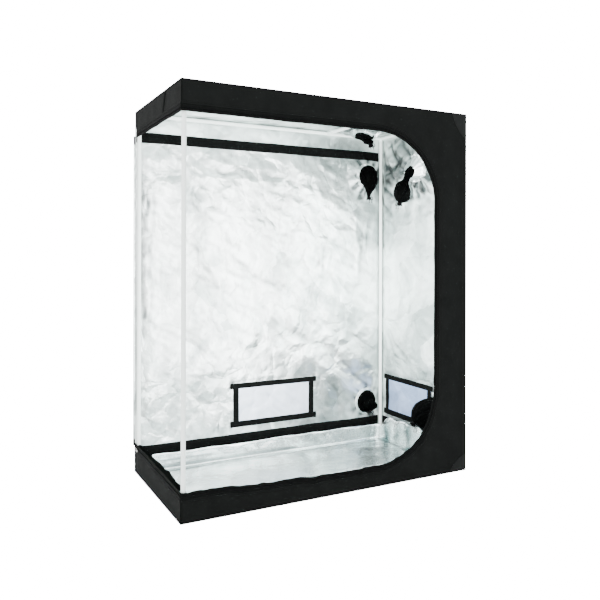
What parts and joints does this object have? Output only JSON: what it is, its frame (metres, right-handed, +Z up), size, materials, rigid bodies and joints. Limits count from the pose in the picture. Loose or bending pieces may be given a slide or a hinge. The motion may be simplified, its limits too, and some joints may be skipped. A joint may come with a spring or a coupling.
{
  "type": "indoor grow tent",
  "caption": "Tall box tent on a steel tube frame, black outside and silver inside, with a wrap-around zipped door, duct sleeves, vent windows and a floor tray.",
  "frame": {"origin": "on the floor, at the middle of the tent's footprint", "axes": "+X to the right along the wide front, +Y to the rear wall, +Z up"},
  "size_m": [1.2091, 0.6067, 1.45],
  "materials": {
    "white_enamel": "satin white enamel on steel tube",
    "black_cloth": "matt black woven polyester outside, crinkled silver film inside",
    "sleeve_cloth": "thin matt black woven cloth",
    "black_tape": "matt black webbing and hook-and-loop tape",
    "patch_cloth": "matt charcoal coated cloth",
    "silver_film": "crinkled silver reflective film on cloth",
    "window_net": "fine black woven net",
    "drawcord": "round braided black cord",
    "zip_metal": "black lacquered zip hardware"
  },
  "bodies": {
    "root": {"front_left_post": "white_enamel", "front_right_post": "white_enamel", "rear_right_post": "white_enamel", "rear_left_post": "white_enamel", "front_bottom_rail": "white_enamel", "rear_bottom_rail": "white_enamel", "left_bottom_rail": "white_enamel", "right_bottom_rail": "white_enamel", "front_top_rail": "white_enamel", "rear_top_rail": "white_enamel", "left_top_rail": "white_enamel", "right_top_rail": "white_enamel", "front_left_bottom_elbow": "white_enamel", "front_left_top_elbow": "white_enamel", "front_right_bottom_elbow": "white_enamel", "front_right_top_elbow": "white_enamel", "rear_right_bottom_elbow": "white_enamel", "rear_right_top_elbow": "white_enamel", "rear_left_bottom_elbow": "white_enamel", "rear_left_top_elbow": "white_enamel", "floor_panel": "black_cloth", "roof_panel": "black_cloth", "rear_wall": "black_cloth", "right_wall": "black_cloth", "front_panel": "black_cloth", "left_top_band": "black_cloth", "left_bottom_band": "black_cloth", "rear_upper_band": "black_tape", "rear_lower_band": "black_tape", "right_lower_band": "black_tape", "front_top_patch": "patch_cloth", "front_bottom_patch": "patch_cloth", "zip_tape": "black_tape", "tie_strap": "black_tape", "rear_window_net": "window_net", "right_window_net": "window_net", "rear_upper_sleeve": "sleeve_cloth", "rear_lower_sleeve": "sleeve_cloth", "right_upper_sleeve": "sleeve_cloth", "right_lower_sleeve": "sleeve_cloth", "roof_sleeve": "sleeve_cloth", "rear_upper_drawcord": "drawcord", "rear_lower_drawcord": "drawcord", "right_upper_drawcord": "drawcord", "right_lower_drawcord": "drawcord", "roof_drawcord": "drawcord", "floor_tray": "silver_film"},
    "left_bar": {"left_hanging_bar": "white_enamel"},
    "right_bar": {"right_hanging_bar": "white_enamel"},
    "door_side": {"door_side_leaf": "black_cloth"},
    "door_middle": {"door_middle_leaf": "black_cloth"},
    "door_end": {"door_end_leaf": "black_cloth"},
    "rear_flap": {"rear_window_flap": "silver_film", "rear_window_tape": "black_tape"},
    "right_flap": {"right_window_flap": "silver_film", "right_window_tape": "black_tape"},
    "slider": {"zip_slider": "zip_metal"},
    "pull": {"zip_pull": "zip_metal"}
  },
  "joints": [
    {"name": "door_swing", "type": "hinge", "parent": "root", "child": "door_side", "pos_m": [-0.60105, 0.30105, 0.72], "axis": [0, 0, 1], "range_deg": [0, 270]},
    {"name": "corner_fold", "type": "hinge", "parent": "door_side", "child": "door_middle", "pos_m": [0.00015, 0.30195, 0.72], "axis": [0, 0, 1], "range_deg": [-90, 0]},
    {"name": "middle_fold", "type": "hinge", "parent": "door_middle", "child": "door_end", "pos_m": [-0.52343, 0.30375, 0.72], "axis": [0, 0, 1], "range_deg": [0, 180]},
    {"name": "rear_flap_lift", "type": "hinge", "parent": "root", "child": "rear_flap", "pos_m": [0.022, 0.29745, 0.319], "axis": [-1, 0, 0], "range_deg": [0, 150]},
    {"name": "right_flap_lift", "type": "hinge", "parent": "root", "child": "right_flap", "pos_m": [0.59745, 0.08, 0.3065], "axis": [0, 1, 0], "range_deg": [0, 150]},
    {"name": "left_bar_slide", "type": "slide", "parent": "root", "child": "left_bar", "axis": [1, 0, 0], "range_m": [-0.045, 0.45]},
    {"name": "right_bar_slide", "type": "slide", "parent": "root", "child": "right_bar", "axis": [1, 0, 0], "range_m": [-0.3, 0.02]},
    {"name": "zip_slide", "type": "slide", "parent": "root", "child": "slider", "axis": [0, -0.9998, -0.02], "range_m": [0, 0.5]},
    {"name": "pull_swing", "type": "hinge", "parent": "slider", "child": "pull", "pos_m": [-0.6064, 0.262, 0.09724], "axis": [0, 0.02, -0.9998], "range_deg": [0, 170]}
  ],
  "couplings": [
    {"joint": "corner_fold", "follows": "door_swing", "ratio": -0.33333},
    {"joint": "middle_fold", "follows": "door_swing", "ratio": 0.66667}
  ]
}
